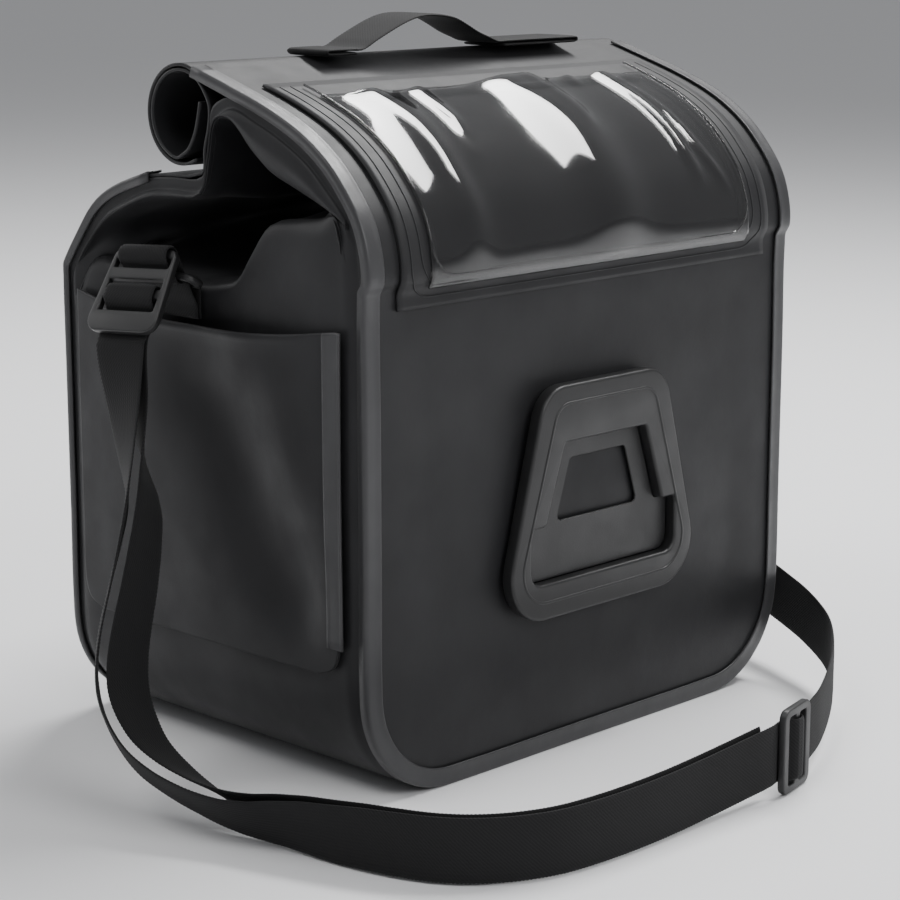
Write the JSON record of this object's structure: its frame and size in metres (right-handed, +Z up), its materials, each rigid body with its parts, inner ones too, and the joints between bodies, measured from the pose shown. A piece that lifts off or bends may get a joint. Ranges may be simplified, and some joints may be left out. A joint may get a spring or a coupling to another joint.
{
  "type": "bicycle bag",
  "caption": "Roll-top bicycle bag of coated fabric with welded edge tape, a clear map pocket, a moulded bracket socket, side pockets, a carrying handle and a shoulder strap.",
  "frame": {"origin": "middle of the base, on the floor", "axes": "+Z up, +X along the bracket face to its right hand, +Y away from the bracket face"},
  "size_m": [0.3807, 0.2883, 0.2968],
  "materials": {
    "coated_fabric": "matte coated fabric with a soft sheen",
    "edge_tape": "smoother coated tape",
    "webbing": "ribbed woven webbing",
    "moulded_plastic": "satin moulded plastic",
    "clear_film": "clear glossy film"
  },
  "bodies": {
    "root": {"gusset": "coated_fabric", "front_sheet": "coated_fabric", "rear_sheet": "coated_fabric", "front_edge_tape": "edge_tape", "rear_edge_tape": "edge_tape", "map_pocket": "coated_fabric", "map_window": "clear_film", "bracket_frame": "moulded_plastic", "bracket_plate": "moulded_plastic", "handle": "webbing", "side_pocket_left": "coated_fabric", "side_pocket_right": "coated_fabric", "pocket_tape_left": "edge_tape", "pocket_tape_right": "edge_tape", "buckle_left": "moulded_plastic", "buckle_right": "moulded_plastic", "ring_left": "moulded_plastic", "ring_right": "moulded_plastic", "anchor_webbing_left": "webbing", "anchor_webbing_right": "webbing", "ring_tab_left": "webbing", "ring_tab_right": "webbing", "strap_slider": "moulded_plastic", "shoulder_strap": "webbing", "strap_second_layer": "webbing"}
  },
  "joints": []
}
